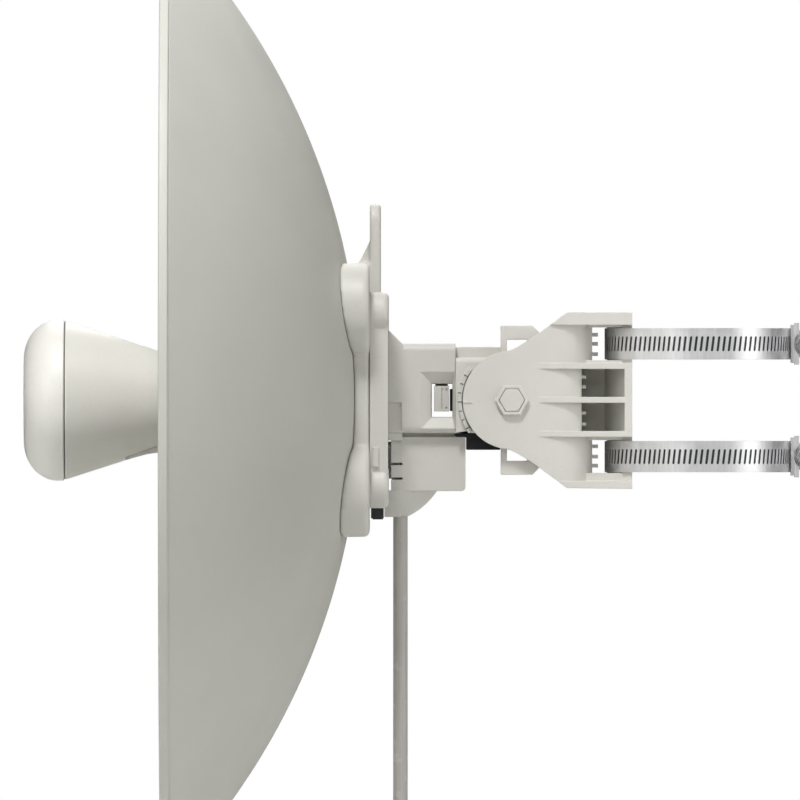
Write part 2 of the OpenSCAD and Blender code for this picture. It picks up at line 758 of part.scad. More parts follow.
module band_housing(z) translate([0, 0, z]) difference() {
    union() {
        wide_block(38, 40.4, 9, -8.8, 8.8);
        wide_block(40.3, 42.4, 11, -9.6, 9.6);
        rod_y(6.2, -9, 9, x = worm_x);
        wide_block(40, worm_x, 9, -6.2, 6.2);
    }
    translate([0, 0, -20]) cylinder(r = pole_r + 2 * band_t - 0.08, h = 40, $fn = 180);
    rod_y(worm_r + fit, -12, 12, x = worm_x);
    on_both_sides() rod_y(5.7, 9.2, 12, x = worm_x);
    // Window over the worm
    for (y = [-5.5 : 2.2 : 5.5]) block(worm_x + 4.6, 60, y - 0.5, y + 0.5, -3, 3);
}

module clamp_screw(z) translate([0, 0, z]) difference() {
    union() {
        rod_y(worm_r, -9.6, 9.6, x = worm_x);
        rod_y(5.4, -10.8, -9.4, x = worm_x);
        hex_y(8, -16, -10.7, worm_x, 0);
        rod_y(4.6, 9.4, 10.4, x = worm_x);
    }
    block(worm_x - 0.6, worm_x + 0.6, -17, -13.8, -6, 6);
}

module upper_band() color("#d0d0d0") band(band_z);

module lower_band() color("#d0d0d0") band(-band_z);

module upper_band_housing() color("#c6c6c6") band_housing(band_z);

module lower_band_housing() color("#c6c6c6") band_housing(-band_z);

module upper_clamp_screw() color("#bcbcbe") clamp_screw(band_z);

module lower_clamp_screw() color("#bcbcbe") clamp_screw(-band_z);

// ---------- Network cable ----------

// A ring of points about each point of a route that runs straight down.
function ring(p, r, n) = [
    for (i = [0 : n - 1]) [p[0] + r * cos(360 * i / n), p[1] + r * sin(360 * i / n), p[2]]
];

module swept_tube(route, r, n = 12) {
    last = len(route) - 1;
    points = [for (p = route) each ring(p, r, n)];
    sides = [
        for (k = [0 : last - 1], i = [0 : n - 1])
            [k * n + i, k * n + (i + 1) % n, (k + 1) * n + (i + 1) % n, (k + 1) * n + i]
    ];
    top_cap = [[for (i = [n - 1 : -1 : 0]) i]];
    end_cap = [[for (i = [0 : n - 1]) last * n + i]];
    polyhedron(points = points, faces = concat(sides, top_cap, end_cap));
}

module network_cable() color("#9a9994") swept_tube(cable_route, cable_r);

// The turns lie in an upright ring that hangs beside the straight stretch, two layers thick.
module cable_coil() color("#9a9994") translate([cable_x - cable_r, coil_out_r, coil_z]) rotate([0, 90, 0])
    rotate_extrude() translate([coil_in_r - cable_r, 0])
        square([coil_out_r - coil_in_r + cable_d, 2 * cable_d]);

module cable_tie() color("#e4e4e0") {
    middle_r = (coil_out_r + coil_in_r) / 2;
    translate([cable_x + cable_r, coil_out_r, coil_z + middle_r]) {
        along_y(-2.4, 2.4) difference() {
            soft_square(2 * cable_d + 3, coil_out_r - coil_in_r + cable_d + 3, 1.2);
            soft_square(2 * cable_d + 0.6, coil_out_r - coil_in_r + cable_d + 0.8, 0.4);
        }
        block(cable_d + 1.5, cable_d + 5.5, -3.4, 3.4, -4, 2);
    }
}

// The free end: a rubber boot and a modular plug that hang straight down.
module cable_plug() color("#d9d9d6") {
    x = cable_x + cable_d;
    translate([x, 0, cable_end_z - 16]) cylinder(r1 = 5.2, r2 = 4, h = 16);
    modular_plug(x, 0, cable_end_z - 16);
}

dish_reflector();
feed_cap();
cap_seal_ring();
feed_cone();
feed_duct();
sub_reflector();
feed_board();
feed_mast();
feed_coax();
feed_collar();
collar_screws();
dish_hub();
dish_screws();
rear_shell();
lug_screws();
heat_spreader();
thermal_pad();
rf_shield();
radio_board();
board_screws();
network_jack();
jack_plug();
vent_block();
status_lens();
ground_lug();
ground_screw();
neck_housing();
neck_screws();
tilt_tongue();
tongue_pad();
left_latch();
right_latch();
latch_spring();
latch_bumper();
port_cover();
gland_seal();
pole_bracket();
tilt_bolt();
tilt_washer();
tilt_nut();
upper_band();
lower_band();
upper_band_housing();
lower_band_housing();
upper_clamp_screw();
lower_clamp_screw();
network_cable();
cable_coil();
cable_tie();
cable_plug();
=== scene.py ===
import json
import math

import bmesh
import bpy
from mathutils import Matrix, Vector
from mathutils.geometry import tessellate_polygon


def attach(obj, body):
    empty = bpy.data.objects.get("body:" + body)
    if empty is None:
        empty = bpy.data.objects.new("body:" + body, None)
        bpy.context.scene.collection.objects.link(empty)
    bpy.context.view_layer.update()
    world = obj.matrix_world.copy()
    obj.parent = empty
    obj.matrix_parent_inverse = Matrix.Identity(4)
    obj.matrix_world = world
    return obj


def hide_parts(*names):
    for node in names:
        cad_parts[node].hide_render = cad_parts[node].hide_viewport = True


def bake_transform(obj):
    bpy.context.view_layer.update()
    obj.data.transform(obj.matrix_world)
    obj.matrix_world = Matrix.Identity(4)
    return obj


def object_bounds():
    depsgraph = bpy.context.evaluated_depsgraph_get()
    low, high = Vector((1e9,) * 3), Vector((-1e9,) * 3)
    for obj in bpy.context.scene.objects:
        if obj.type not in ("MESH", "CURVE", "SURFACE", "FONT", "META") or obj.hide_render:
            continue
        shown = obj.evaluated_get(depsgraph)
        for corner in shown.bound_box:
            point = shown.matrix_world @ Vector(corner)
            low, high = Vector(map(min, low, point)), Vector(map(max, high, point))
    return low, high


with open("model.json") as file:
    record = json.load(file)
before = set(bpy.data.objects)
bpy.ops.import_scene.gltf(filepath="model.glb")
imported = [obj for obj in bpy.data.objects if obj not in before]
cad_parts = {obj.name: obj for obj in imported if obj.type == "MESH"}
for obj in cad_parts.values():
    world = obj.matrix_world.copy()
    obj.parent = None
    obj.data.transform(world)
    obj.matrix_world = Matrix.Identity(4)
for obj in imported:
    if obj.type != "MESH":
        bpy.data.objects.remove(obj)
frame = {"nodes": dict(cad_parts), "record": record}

NODES = frame["nodes"]
MM = 0.001
cad_box = [list(corner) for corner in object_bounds()]


# ---------- Camera, first: a level side view, square on, from far away ----------

VIEW_WIDTH = 0.3692
LENS = 1600
SENSOR = 36
CAMERA_X = -0.1417
CAMERA_Z = 0.0001

camera_data = bpy.data.cameras.new("camera")
camera_data.lens = LENS
camera_data.sensor_width = SENSOR
camera_data.clip_end = 100
camera = bpy.data.objects.new("camera", camera_data)
camera.location = (CAMERA_X, -VIEW_WIDTH * LENS / SENSOR, CAMERA_Z)
camera.rotation_euler = (math.pi / 2, 0, 0)
bpy.context.scene.collection.objects.link(camera)
bpy.context.scene.camera = camera
bpy.context.scene.view_settings.view_transform = "Standard"


# ---------- Node helpers for materials ----------

# The Mix node has a socket of the same name for each data type, so its colour sockets go by index
MIX_COLOUR_A, MIX_COLOUR_B, MIX_COLOUR_OUT = 6, 7, 2


class Shader:
    """A Principled material whose colour, roughness and bump come from object coordinates."""

    def __init__(self, name, colour, roughness, **values):
        self.material = bpy.data.materials.new(name)
        self.material.use_nodes = True
        self.tree = self.material.node_tree
        self.bsdf = self.tree.nodes["Principled BSDF"]
        self.bsdf.inputs["Base Color"].default_value = (*linear(colour), 1)
        self.bsdf.inputs["Roughness"].default_value = roughness
        for key, value in values.items():
            self.bsdf.inputs[key.replace("_", " ")].default_value = value
        self.at = self.node("ShaderNodeTexCoord").outputs["Object"]

    def node(self, kind, **settings):
        made = self.tree.nodes.new(kind)
        for key, value in settings.items():
            setattr(made, key, value)
        return made

    def link(self, a, b):
        self.tree.links.new(a, b)
        return b

    def stretched(self, scale):
        mapping = self.node("ShaderNodeMapping")
        mapping.inputs["Scale"].default_value = scale
        self.link(self.at, mapping.inputs["Vector"])
        return mapping.outputs["Vector"]

    def noise(self, scale, detail=3.0, vector=None):
        made = self.node("ShaderNodeTexNoise")
        made.inputs["Scale"].default_value = scale
        made.inputs["Detail"].default_value = detail
        self.link(vector or self.at, made.inputs["Vector"])
        return made.outputs["Fac"]

    def ramp(self, source, low, high, from_low=0.3, from_high=0.7):
        made = self.node("ShaderNodeMapRange")
        for key, value in (
            ("From Min", from_low), ("From Max", from_high), ("To Min", low), ("To Max", high),
        ):
            made.inputs[key].default_value = value
        self.link(source, made.inputs["Value"])
        return made.outputs["Result"]

    def mix(self, factor, a, b):
        """Colour between a and b; each is a socket or an sRGB triple."""
        made = self.node("ShaderNodeMix", data_type="RGBA")
        self.link(factor, made.inputs["Factor"])
        for index, value in ((MIX_COLOUR_A, a), (MIX_COLOUR_B, b)):
            socket = made.inputs[index]
            if isinstance(value, tuple):
                socket.default_value = (*linear(value), 1)
            else:
                self.link(value, socket)
        return made.outputs[MIX_COLOUR_OUT]

    def colour(self, socket):
        self.link(socket, self.bsdf.inputs["Base Color"])

    def rough(self, socket):
        self.link(socket, self.bsdf.inputs["Roughness"])

    def soft_normal(self, radius):
        """The normal as if edges were rounded by the radius."""
        made = self.node("ShaderNodeBevel", samples=6)
        made.inputs["Radius"].default_value = radius
        return made.outputs["Normal"]

    def bump(self, *layers, normal=None):
        """Each layer is (height socket, distance in metres, strength)."""
        for height, distance, strength in layers:
            made = self.node("ShaderNodeBump")
            made.inputs["Distance"].default_value = distance
            made.inputs["Strength"].default_value = strength
            self.link(height, made.inputs["Height"])
            if normal:
                self.link(normal, made.inputs["Normal"])
            normal = made.outputs["Normal"]
        self.link(normal, self.bsdf.inputs["Normal"])


def linear(rgb):
    """sRGB 0 to 255 as linear 0 to 1."""
    return tuple((v / 255 / 12.92) if v <= 10 else ((v / 255 + 0.055) / 1.055) ** 2.4 for v in rgb)


def tone(rgb, factor):
    return tuple(min(255, v * factor) for v in rgb)


def edge_mask(shader, soft):
    """About 1 on edges sharper than the soft normal's radius, 0 on flats."""
    sharp = shader.node("ShaderNodeNewGeometry").outputs["Normal"]
    dot = shader.node("ShaderNodeVectorMath", operation="DOT_PRODUCT")
    shader.link(soft, dot.inputs[0])
    shader.link(sharp, dot.inputs[1])
    return shader.ramp(dot.outputs["Value"], 1.0, 0.0, 0.86, 0.995)


# ---------- Materials ----------

def moulded_plastic(name, colour, roughness, grain=0.00004, worn=True, soft=0.0008):
    """Spark-eroded texture, faint flow marks, soft edges, and edges polished by handling."""
    s = Shader(name, colour, roughness)
    normal = s.soft_normal(soft)
    cloud = s.ramp(s.noise(14, 4), 0, 1)
    shade = s.mix(cloud, tone(colour, 0.975), tone(colour, 1.02))
    speck = s.ramp(s.noise(900, 2), 0, 1, 0.6, 0.75)
    shade = s.mix(speck, shade, tone(colour, 0.97))
    if worn:
        chip = s.ramp(s.noise(260, 5), 0, 1, 0.42, 0.6)
        both = s.node("ShaderNodeMath", operation="MULTIPLY")
        s.link(edge_mask(s, normal), both.inputs[0])
        s.link(chip, both.inputs[1])
        shade = s.mix(both.outputs[0], shade, tone(colour, 1.07))
    s.colour(shade)
    s.rough(s.ramp(s.noise(45, 5), roughness - 0.07, roughness + 0.09))
    s.bump((s.noise(2600, 3), grain, 0.6), (s.noise(120, 3), 0.0001, 0.12), normal=normal)
    return s.material


def powder_coat(name, colour):
    """Baked powder on sheet aluminium: orange peel, and faint rings left by the spinning tool."""
    s = Shader(name, colour, 0.52, Specular_IOR_Level=0.4)
    cloud = s.ramp(s.noise(9, 5), 0, 1)
    shade = s.mix(cloud, tone(colour, 0.98), tone(colour, 1.015))
    dust = s.ramp(s.noise(1500, 2), 0, 1, 0.64, 0.78)
    s.colour(s.mix(dust, shade, tone(colour, 0.94)))
    s.rough(s.ramp(s.noise(30, 5), 0.46, 0.6))
    rings = s.node("ShaderNodeTexWave", wave_type="RINGS", rings_direction="X")
    rings.inputs["Scale"].default_value = 60
    rings.inputs["Distortion"].default_value = 0.6
    s.link(s.at, rings.inputs["Vector"])
    s.bump((s.noise(850, 2), 0.00006, 0.5), (rings.outputs["Fac"], 0.00002, 0.25))
    return s.material


def brushed_metal(name, colour, roughness, along=(700, 700, 30), metallic=1.0):
    """Fine scratches one way, dull finger marks, and painted shade on the slot floors that the mesh marks."""
    s = Shader(name, colour, roughness, Metallic=metallic)
    streak = s.noise(1, 4, s.stretched(along))
    shade = s.mix(s.ramp(streak, 0, 1, 0.3, 0.7), tone(colour, 0.97), tone(colour, 1.02))
    smear = s.ramp(s.noise(90, 4), 0, 1, 0.5, 0.7)
    shade = s.mix(smear, shade, tone(colour, 0.95))
    slot_shade = s.node("ShaderNodeAttribute", attribute_name="slot_shade").outputs["Fac"]
    # Painted shade: the marked slot floors turn dark grey, standing for the shadow deep in each slot
    s.colour(s.mix(slot_shade, shade, (74, 74, 76)))
    s.rough(s.ramp(streak, roughness - 0.03, roughness + 0.05, 0.3, 0.7))
    s.bump((streak, 0.000002, 0.1))
    return s.material


def plated_steel(name, colour, roughness):
    """Zinc plating with a fine crystal mottling."""
    s = Shader(name, colour, roughness, Metallic=1.0)
    cells = s.node("ShaderNodeTexVoronoi")
    cells.inputs["Scale"].default_value = 1400
    s.link(s.at, cells.inputs["Vector"])
    s.colour(s.mix(cells.outputs["Distance"], tone(colour, 0.9), tone(colour, 1.04)))
    s.rough(s.ramp(s.noise(240, 4), roughness - 0.08, roughness + 0.12))
    s.bump((s.noise(1800, 2), 0.00001, 0.4))
    return s.material


def rubber(name, colour, roughness=0.7):
    s = Shader(name, colour, roughness, Specular_IOR_Level=0.3)
    bloom = s.ramp(s.noise(70, 5), 0, 1, 0.45, 0.75)
    s.colour(s.mix(bloom, colour, tone(colour, 1.25)))
    s.rough(s.ramp(s.noise(300, 3), roughness - 0.08, roughness + 0.1))
    s.bump((s.noise(1900, 3), 0.00005, 0.6))
    return s.material


def cable_sheath(name, colour):
    """Extruded jacket: fine lengthwise drag lines, light scuffs and a dull bloom."""
    s = Shader(name, colour, 0.48, Specular_IOR_Level=0.45)
    drag = s.noise(1, 4, s.stretched((1500, 1500, 25)))
    shade = s.mix(s.ramp(drag, 0, 1), tone(colour, 0.96), tone(colour, 1.03))
    scuff = s.ramp(s.noise(160, 6), 0, 1, 0.6, 0.72)
    s.colour(s.mix(scuff, shade, tone(colour, 1.1)))
    s.rough(s.ramp(s.noise(80, 5), 0.4, 0.6))
    s.bump((drag, 0.00003, 0.4), (s.noise(1300, 2), 0.00002, 0.4))
    return s.material


def circuit_board(name, colour):
    """Green solder mask over copper tracks, with tinned pads."""
    s = Shader(name, colour, 0.32, Coat_Weight=0.4)
    tracks = s.node("ShaderNodeTexBrick", offset=0.5)
    for key, value in (("Scale", 180), ("Mortar Size", 0.03), ("Brick Width", 0.9), ("Row Height", 0.25)):
        tracks.inputs[key].default_value = value
    s.link(s.at, tracks.inputs["Vector"])
    shade = s.mix(tracks.outputs["Fac"], colour, tone(colour, 1.5))
    pads = s.node("ShaderNodeTexVoronoi", distance="CHEBYCHEV")
    pads.inputs["Scale"].default_value = 300
    s.link(s.at, pads.inputs["Vector"])
    s.colour(s.mix(s.ramp(pads.outputs["Distance"], 1, 0, 0.12, 0.16), shade, (196, 190, 170)))
    s.rough(s.ramp(s.noise(200, 3), 0.26, 0.4))
    s.bump((tracks.outputs["Fac"], 0.00003, 0.4))
    return s.material


def clear_plastic(name, colour):
    s = Shader(name, colour, 0.12, Transmission_Weight=0.55, IOR=1.5)
    s.colour(s.mix(s.ramp(s.noise(60, 3), 0, 1), tone(colour, 0.96), colour))
    s.rough(s.ramp(s.noise(400, 3), 0.08, 0.2))
    s.bump((s.noise(500, 2), 0.00001, 0.3))
    return s.material


DISH_GREY = (196, 196, 188)
BODY_GREY = (201, 199, 192)
BRACKET_GREY = (213, 211, 204)
FEED_GREY = (222, 220, 212)
CAP_GREY = (236, 234, 227)

coat = powder_coat("dish_coating", DISH_GREY)
body_plastic = moulded_plastic("body_plastic", BODY_GREY, 0.5)
bracket_plastic = moulded_plastic("bracket_plastic", BRACKET_GREY, 0.55, 0.00006, soft=0.0006)
feed_plastic = moulded_plastic("feed_plastic", FEED_GREY, 0.42, 0.00003, worn=False)
cap_plastic = moulded_plastic("cap_plastic", CAP_GREY, 0.4, 0.00003, worn=False)
# Near-black. On the dark parts set into gaps (tongue_pad, gland_seal, latch_bumper) this black is partly
# painted shade: real rubber parts, dark where the gaps lie in shadow
black_plastic = moulded_plastic("black_plastic", (36, 36, 38), 0.5, 0.00006)
black_rubber = rubber("black_rubber", (34, 34, 36))
seal_rubber = rubber("seal_rubber", (96, 95, 91))
thermal_rubber = rubber("thermal_rubber", (125, 143, 166), 0.8)
coax_jacket = rubber("coax_jacket", (138, 106, 58), 0.45)
band_steel = brushed_metal("stainless_band", (232, 232, 233), 0.42, metallic=0.75)
zinc_steel = plated_steel("zinc_steel", (196, 196, 197), 0.34)
bolt_coating = moulded_plastic("bolt_coating", (213, 211, 204), 0.45, 0.00002)
bare_aluminium = brushed_metal("bare_aluminium", (196, 197, 199), 0.36, (30, 700, 700))
tinned_steel = plated_steel("tinned_steel", (198, 200, 202), 0.25)
spring_steel = brushed_metal("spring_steel", (170, 170, 172), 0.3, (400, 400, 400))
brass = plated_steel("brass", (199, 166, 90), 0.3)
gold = plated_steel("contact_gold", (212, 175, 85), 0.22)
board_green = circuit_board("circuit_board", (43, 106, 67))
clear = clear_plastic("clear_plastic", (222, 224, 220))
sheath = cable_sheath("cable_jacket", (180, 179, 173))
nylon = moulded_plastic("nylon_tie", (230, 230, 226), 0.4, 0.00002, worn=False)

MATERIAL_OF_SLOT = {
    "dish_coating": coat, "body_plastic": body_plastic, "bracket_plastic": bracket_plastic,
    "feed_plastic": feed_plastic, "black_plastic": black_plastic, "black_rubber": black_rubber,
    "seal_rubber": seal_rubber, "stainless_band": band_steel, "zinc_steel": zinc_steel,
    "bare_aluminium": bare_aluminium, "tinned_steel": tinned_steel, "circuit_board": board_green,
    "thermal_rubber": thermal_rubber, "coax_jacket": coax_jacket, "clear_plastic": clear,
    "brass": brass, "spring_steel": spring_steel, "cable_jacket": sheath, "nylon_tie": nylon,
}
SLOT_OF_NODE = {p["node"]: p["material_slot"] for p in frame["record"]["subparts"]}
BODY_OF_NODE = {n: b for b, members in frame["record"]["behaviour"]["bodies"].items() for n in members}


# ---------- Mesh helpers ----------

def piece(name, bm, node=None, angle=35, material=None, body=None, slot=None):
    """Turns a bmesh into a smooth-shaded piece that stands for a CAD node.
    It rides on the node's body, or on the one given; body="" leaves it on no body."""
    mesh = bpy.data.meshes.new(name)
    bm.to_mesh(mesh)
    bm.free()
    mesh.shade_smooth()
    mesh.set_sharp_from_angle(angle=math.radians(angle))
    made = bpy.data.objects.new(name, mesh)
    bpy.context.scene.collection.objects.link(made)
    slot = slot or SLOT_OF_NODE[node]
    mesh.materials.append(material or MATERIAL_OF_SLOT[slot])
    if node:
        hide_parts(node)
    if body != "":
        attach(made, body or BODY_OF_NODE[node])
    return made


def rounded(points, radii, steps=6):
    """Outline through the points with a fillet of each radius at its corner; 0 keeps the corner."""
    out = []
    n = len(points)
    for i, (x, y) in enumerate(points):
        r = radii[i]
        p = Vector((x, y))
        if r <= 0:
            out.append(p)
            continue
        a = (Vector(points[i - 1]) - p).normalized()
        b = (Vector(points[(i + 1) % n]) - p).normalized()
        half = a.angle(b) / 2
        reach = r / math.tan(half)
        centre = p + (a + b).normalized() * (r / math.sin(half))
        start, end = p + a * reach - centre, p + b * reach - centre
        turn = start.angle_signed(end)
        for k in range(steps + 1):
            t = -turn * k / steps
            c, s = math.cos(t), math.sin(t)
            out.append(centre + Vector((start.x * c - start.y * s, start.x * s + start.y * c)))
    return out


def lathe(bm, outline, steps=192, closed=True):
    """Revolves (radius, X) points about the X axis.
    The outline is a closed loop, or open with its ends on the axis."""
    rings = []
    for r, x in outline:
        if r < 1e-9:
            rings.append([bm.verts.new((x, 0, 0))])
            continue
        rings.append([
            bm.verts.new((x, r * math.cos(2 * math.pi * k / steps), r * math.sin(2 * math.pi * k / steps)))
            for k in range(steps)
        ])
    pairs = list(zip(rings, rings[1:]))
    if closed:
        pairs.append((rings[-1], rings[0]))
    for a, b in pairs:
        for k in range(steps):
            j = (k + 1) % steps
            corners = [a[k % len(a)], b[k % len(b)], b[j % len(b)], a[j % len(a)]]
            unique = list(dict.fromkeys(corners))
            if len(unique) > 2:
                bm.faces.new(unique)
    bmesh.ops.recalc_face_normals(bm, faces=bm.faces)


def cleaned(node):
    """The CAD node's mesh as a bmesh with whole flat faces, so that its edges can be rounded."""
    bm = bmesh.new()
    bm.from_mesh(NODES[node].data)
    bmesh.ops.remove_doubles(bm, verts=bm.verts, dist=2e-6)
    bmesh.ops.dissolve_limit(bm, angle_limit=math.radians(0.6), verts=bm.verts, edges=bm.edges)
    return bm


def softened(node, width, segments=2, angle=38, material=None, radius_at=None):
    """A copy of a CAD node whose sharp edges are rounded, as a mould leaves them.
    radius_at(middle, direction) gives each edge's radius in metres instead; 0 leaves the edge sharp."""
    bm = cleaned(node)
    weight = bm.edges.layers.float.new("bevel_weight_edge")
    sizes = {}
    for edge in bm.edges:
        if len(edge.link_faces) == 2 and edge.calc_face_angle() > math.radians(angle):
            a, b = (v.co for v in edge.verts)
            sizes[edge] = radius_at((a + b) / 2, (b - a).normalized()) if radius_at else width
    largest = max(sizes.values())
    for edge, size in sizes.items():
        edge[weight] = size / largest
    made = piece(node + "_body", bm, node, angle=angle, material=material)
    bevel = made.modifiers.new("edges", "BEVEL")
    bevel.width = largest
    bevel.segments = segments
    bevel.limit_method = "WEIGHT"
    # Off with a larger radius, because a clamp would shrink the small edges too
    bevel.use_clamp_overlap = largest == width
    made.modifiers.new("flat_faces", "WEIGHTED_NORMAL").keep_sharp = True
    return made


def moulded(node, voxel, rounds):
    """A copy of a CAD node with soft fillets inside and outside, as one thick moulding."""
    bm = bmesh.new()
    bm.from_mesh(NODES[node].data)
    made = piece(node + "_body", bm, node, angle=180)
    remesh = made.modifiers.new("skin", "REMESH")
    remesh.mode = "VOXEL"
    remesh.voxel_size = voxel
    remesh.use_smooth_shade = True
    relax = made.modifiers.new("fillets", "SMOOTH")
    relax.factor = 0.5
    relax.iterations = rounds
    return made


def bar(bm, centre, along, across, up, sizes):
    """A small block with its own axes. The sizes are its full lengths."""
    half = [v / 2 for v in sizes]
    corners = [
        bm.verts.new(Vector(centre) + along * a * half[0] + across * b * half[1] + up * c * half[2])
        for a in (-1, 1) for b in (-1, 1) for c in (-1, 1)
    ]
    for face in ((0, 1, 3, 2), (4, 6, 7, 5), (0, 4, 5, 1), (2, 3, 7, 6), (0, 2, 6, 4), (1, 5, 7, 3)):
        bm.faces.new([corners[k] for k in face])


# ---------- Cable, before everything else that is modelled ----------

CABLE_D = 0.0067
CABLE_X = -0.1415
COIL_Z = -0.240
COIL_TURNS = 6
POINTS_PER_TURN = 36
ROUTE_Z = (
    -0.0438, -0.050, -0.056, -0.064, -0.074, -0.086, -0.098, -0.110, -0.122,
    -0.134, -0.146, -0.158, -0.170, -0.182, -0.194, -0.206, -0.218, -0.230,
)


def coil_points():
    """Three turns inwards, a step to the next layer, and three turns outwards."""
    outer, inner = 7 * CABLE_D, 4 * CABLE_D
    total = COIL_TURNS * POINTS_PER_TURN
    for i in range(total + 1):
        turn = i / POINTS_PER_TURN
        away = abs(turn - COIL_TURNS / 2)
        radius = inner + (outer - inner) * away / (COIL_TURNS / 2)
        step = min(1, max(0, (turn - COIL_TURNS / 2) / 0.5 + 0.5))
        side = CABLE_D * step * step * (3 - 2 * step)
        angle = math.pi + 2 * math.pi * turn
        yield (CABLE_X + side, outer + radius * math.cos(angle), COIL_Z + radius * math.sin(angle))


def swept(bm, points, radius, sides=20):
    """A tube of constant radius along the points, with closed ends."""
    line = [Vector(p) for p in points]
    side = Vector((1, 0, 0))
    rings = []
    for i, p in enumerate(line):
        ahead = (line[min(i + 1, len(line) - 1)] - line[max(i - 1, 0)]).normalized()
        side = (side - ahead * side.dot(ahead)).normalized()
        up = ahead.cross(side)
        rings.append([
            bm.verts.new(p + radius * (side * math.cos(a) + up * math.sin(a)))
            for a in (2 * math.pi * k / sides for k in range(sides))
        ])
    for a, b in zip(rings, rings[1:]):
        for k in range(sides):
            bm.faces.new((a[k], a[(k + 1) % sides], b[(k + 1) % sides], b[k]))
    bm.faces.new(rings[0][::-1])
    bm.faces.new(rings[-1])
    bmesh.ops.recalc_face_normals(bm, faces=bm.faces)


route = [(CABLE_X, 0, z) for z in ROUTE_Z]
end_tail = [(CABLE_X + CABLE_D, 0, COIL_Z - d) for d in (0.006, 0.012, 0.019)]
cable_line = route + list(coil_points()) + end_tail

# The straight stretch's mesh has closer rings than the route has points
DENSE_RINGS = 90
straight = ROUTE_Z[-1] - ROUTE_Z[0]
dense = [(CABLE_X, 0, ROUTE_Z[0] + straight * k / DENSE_RINGS) for k in range(DENSE_RINGS)]
bm = bmesh.new()
swept(bm, dense + cable_line[len(route) - 1:], CABLE_D / 2)
cable = piece("network_cable_run", bm, slot="cable_jacket", body="")
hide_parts("network_cable", "cable_coil")
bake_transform(cable)

cable_tie = softened("cable_tie", 0.2 * MM)
cable_plug = softened("cable_plug", 0.2 * MM)

# Contact blades of the free plug
BLADE_X, BLADE_Z, BLADE_PITCH, BLADES = -138.85, -294.2, 1.02, 8
bm = bmesh.new()
axes = (Vector((1, 0, 0)), Vector((0, 1, 0)), Vector((0, 0, 1)))
for k in range(BLADES):
    y = BLADE_PITCH * (k - (BLADES - 1) / 2)
    bar(bm, Vector((BLADE_X, y, BLADE_Z)) * MM, *axes, [v * MM for v in (0.5, 0.4, 6.0)])
bmesh.ops.recalc_face_normals(bm, faces=bm.faces)
contacts = piece("plug_contacts", bm, slot="brass", material=gold, body="cable")


# ---------- Dish and feed ----------

ARC_X, ARC_R, DISH_WALL = -476.1, 316.4, 2.2
RIM_X, RIM_BACK_X, RIM_R = -252.0, -247.4, 222.0
HOLE_R, BACK_EDGE_R, FRONT_EDGE_R = 20.0, 218.2, 219.2
SEAT_Y, SEAT_Z, SEAT_R, SEAT_HOLE_R, SEAT_FRONT_X, SEAT_BACK_X = 47.5, 50.0, 7.0, 2.3, -171.5, -168.6


def arc_point(r, radius):
    """A point of the dish arc at that distance from the axis, in millimetres."""
    return (r, ARC_X + math.sqrt(radius * radius - r * r))


def scaled(points):
    return [(r * MM, x * MM) for r, x in points]


def dish_outline():
    """Back of the dish from its hole outwards, round the rim band, and back along the front."""
    steps = 72
    back = [arc_point(HOLE_R + (BACK_EDGE_R - HOLE_R) * k / steps, ARC_R) for k in range(steps + 1)]
    band = rounded(
        [(BACK_EDGE_R + 0.4, RIM_BACK_X - 0.9), (RIM_R - 0.5, RIM_BACK_X), (RIM_R, RIM_X),
         (FRONT_EDGE_R + 0.2, RIM_X), (FRONT_EDGE_R - 0.2, RIM_BACK_X)],
        [0, 0.7, 0.9, 0.5, 0],
    )[:-1]
    front = [
        arc_point(FRONT_EDGE_R + (HOLE_R - FRONT_EDGE_R) * k / steps, ARC_R - DISH_WALL)
        for k in range(steps + 1)
    ]
    return scaled(back + [(p[0], p[1]) for p in band] + front)


bm = bmesh.new()
lathe(bm, dish_outline(), steps=288)
seat = rounded(
    [(SEAT_R, SEAT_BACK_X), (SEAT_R, SEAT_FRONT_X), (SEAT_HOLE_R, SEAT_FRONT_X), (SEAT_HOLE_R, SEAT_BACK_X)],
    [0, 0.6, 0, 0],
)
for sy in (-1, 1):
    for sz in (-1, 1):
        start = len(bm.verts)
        lathe(bm, scaled((p[0], p[1]) for p in seat), steps=40)
        bm.verts.ensure_lookup_table()
        for v in bm.verts[start:]:
            v.co += Vector((0, sy * SEAT_Y, sz * SEAT_Z)) * MM
piece("dish_shell", bm, "dish_reflector", angle=28)

CAP_R, CAP_FLAT_R, CAP_WALL = 37.15, 19.1, 2
CAP_FRONT_X, CAP_ROUND_X, CAP_BACK_X = -315.3, -299.5, -296.6


def cap_outline(inset, steps=28):
    """Half section of the cap from its middle: a flat front that turns into the side on a quarter ellipse."""
    wide = CAP_R - CAP_FLAT_R - inset
    deep = CAP_ROUND_X - CAP_FRONT_X - inset
    turn = [
        (CAP_FLAT_R + wide * math.sin(a), CAP_ROUND_X - deep * math.cos(a))
        for a in (math.pi / 2 * k / steps for k in range(steps + 1))
    ]
    return [(0, CAP_FRONT_X + inset), (CAP_FLAT_R / 2, CAP_FRONT_X + inset)] + turn


lip = [(CAP_R, CAP_BACK_X - 0.4), (CAP_R - 0.35, CAP_BACK_X), (CAP_R - CAP_WALL, CAP_BACK_X)]
bm = bmesh.new()
lathe(bm, scaled(cap_outline(0) + lip + cap_outline(CAP_WALL)[::-1]), closed=False)
piece("feed_cap_shell", bm, "feed_cap", angle=40, material=cap_plastic)

